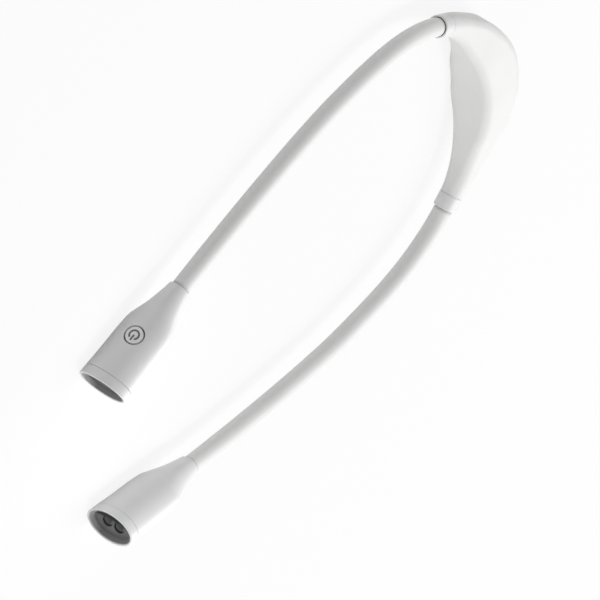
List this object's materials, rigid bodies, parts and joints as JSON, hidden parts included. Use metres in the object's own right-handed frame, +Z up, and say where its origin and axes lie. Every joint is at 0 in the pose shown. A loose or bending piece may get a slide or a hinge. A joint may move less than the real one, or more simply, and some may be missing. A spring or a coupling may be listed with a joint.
{
  "type": "neck reading light",
  "caption": "U-shaped reading lamp worn round the neck: a soft-skinned nape pod, bendable round arms and flat oval lamp heads, each with a side push button.",
  "frame": {"origin": "centre of the nape pod's flat underside, below the middle of the pod, on the table plane", "axes": "+Z up from the table, +Y to the back of the neck, heads point to -Y, the wearer's right arm is at -X"},
  "size_m": [0.2002, 0.3249, 0.0288],
  "materials": {
    "white_silicone": "satin soft-touch silicone, white",
    "white_plastic": "satin moulded plastic, white",
    "inner_plastic": "matte moulded plastic, grey",
    "lens_plate_plastic": "satin moulded plastic, dark grey",
    "lens_plastic": "polished clear plastic",
    "steel": "plain drawn steel",
    "circuit_board": "green solder resist",
    "cell_wrap": "foil pouch",
    "foam": "soft black foam",
    "lead_sheath": "black cable sheath",
    "switch_black": "black moulded plastic"
  },
  "bodies": {
    "pod": {"pod_skin": "white_silicone", "chassis_tray": "inner_plastic", "chassis_cover": "inner_plastic", "battery_cell": "cell_wrap", "battery_pad": "foam", "battery_lead": "lead_sheath", "control_board": "circuit_board", "charging_port": "steel", "indicator_lens": "lens_plastic", "end_collar_right": "white_plastic", "end_collar_left": "white_plastic", "arm_anchor_right": "inner_plastic", "arm_anchor_left": "inner_plastic", "pod_lead_right": "lead_sheath", "pod_lead_left": "lead_sheath"},
    "arm_lower_right": {"sleeve_lower_right": "white_silicone", "core_wire_lower_right": "steel", "lead_lower_right": "lead_sheath"},
    "arm_middle_right": {"sleeve_middle_right": "white_silicone", "core_wire_middle_right": "steel", "lead_middle_right": "lead_sheath"},
    "arm_upper_right": {"sleeve_upper_right": "white_silicone", "core_wire_upper_right": "steel", "lead_upper_right": "lead_sheath"},
    "head_right": {"head_housing_right": "white_plastic", "bezel_ring_right": "white_plastic", "neck_ferrule_right": "inner_plastic", "lens_plate_right": "lens_plate_plastic", "led_board_right": "circuit_board", "led_lens_upper_right": "lens_plastic", "led_lens_lower_right": "lens_plastic", "switch_board_right": "circuit_board", "switch_case_right": "switch_black", "head_lead_right": "lead_sheath"},
    "button_right": {"button_cap_right": "white_plastic", "switch_plunger_right": "switch_black"},
    "arm_lower_left": {"sleeve_lower_left": "white_silicone", "core_wire_lower_left": "steel", "lead_lower_left": "lead_sheath"},
    "arm_middle_left": {"sleeve_middle_left": "white_silicone", "core_wire_middle_left": "steel", "lead_middle_left": "lead_sheath"},
    "arm_upper_left": {"sleeve_upper_left": "white_silicone", "core_wire_upper_left": "steel", "lead_upper_left": "lead_sheath"},
    "head_left": {"head_housing_left": "white_plastic", "bezel_ring_left": "white_plastic", "neck_ferrule_left": "inner_plastic", "lens_plate_left": "lens_plate_plastic", "led_board_left": "circuit_board", "led_lens_upper_left": "lens_plastic", "led_lens_lower_left": "lens_plastic", "switch_board_left": "circuit_board", "switch_case_left": "switch_black", "head_lead_left": "lead_sheath"},
    "button_left": {"button_cap_left": "white_plastic", "switch_plunger_left": "switch_black"}
  },
  "joints": [
    {"name": "arm_root_right", "type": "hinge", "parent": "pod", "child": "arm_lower_right", "pos_m": [-0.07597, -0.03697, 0.0144], "axis": [0, 0, 1], "range_deg": [-30, 20]},
    {"name": "arm_lower_bend_right", "type": "hinge", "parent": "arm_lower_right", "child": "arm_middle_right", "pos_m": [-0.09507, -0.10967, 0.0144], "axis": [-1, 0.0092, 0], "range_deg": [-30, 30]},
    {"name": "arm_upper_bend_right", "type": "hinge", "parent": "arm_middle_right", "child": "arm_upper_right", "pos_m": [-0.08779, -0.17946, 0.0144], "axis": [0, 0, 1], "range_deg": [-30, 30]},
    {"name": "head_tilt_right", "type": "hinge", "parent": "arm_upper_right", "child": "head_right", "pos_m": [-0.07418, -0.24405, 0.0144], "axis": [-0.9719, -0.2354, 0], "range_deg": [-35, 35]},
    {"name": "button_press_right", "type": "slide", "parent": "head_right", "child": "button_right", "axis": [0.9716, 0.2368, 0], "range_m": [0, 0.0007], "stiffness_N_per_m": 1500},
    {"name": "arm_root_left", "type": "hinge", "parent": "pod", "child": "arm_lower_left", "pos_m": [0.07597, -0.03697, 0.0144], "axis": [0, 0, 1], "range_deg": [-20, 30]},
    {"name": "arm_lower_bend_left", "type": "hinge", "parent": "arm_lower_left", "child": "arm_middle_left", "pos_m": [0.09507, -0.10967, 0.0144], "axis": [-1, -0.0092, 0], "range_deg": [-30, 30]},
    {"name": "arm_upper_bend_left", "type": "hinge", "parent": "arm_middle_left", "child": "arm_upper_left", "pos_m": [0.08779, -0.17946, 0.0144], "axis": [0, 0, 1], "range_deg": [-30, 30]},
    {"name": "head_tilt_left", "type": "hinge", "parent": "arm_upper_left", "child": "head_left", "pos_m": [0.07418, -0.24405, 0.0144], "axis": [-0.9719, 0.2354, 0], "range_deg": [-35, 35]},
    {"name": "button_press_left", "type": "slide", "parent": "head_left", "child": "button_left", "axis": [-0.9716, 0.2368, 0], "range_m": [0, 0.0007], "stiffness_N_per_m": 1500}
  ]
}
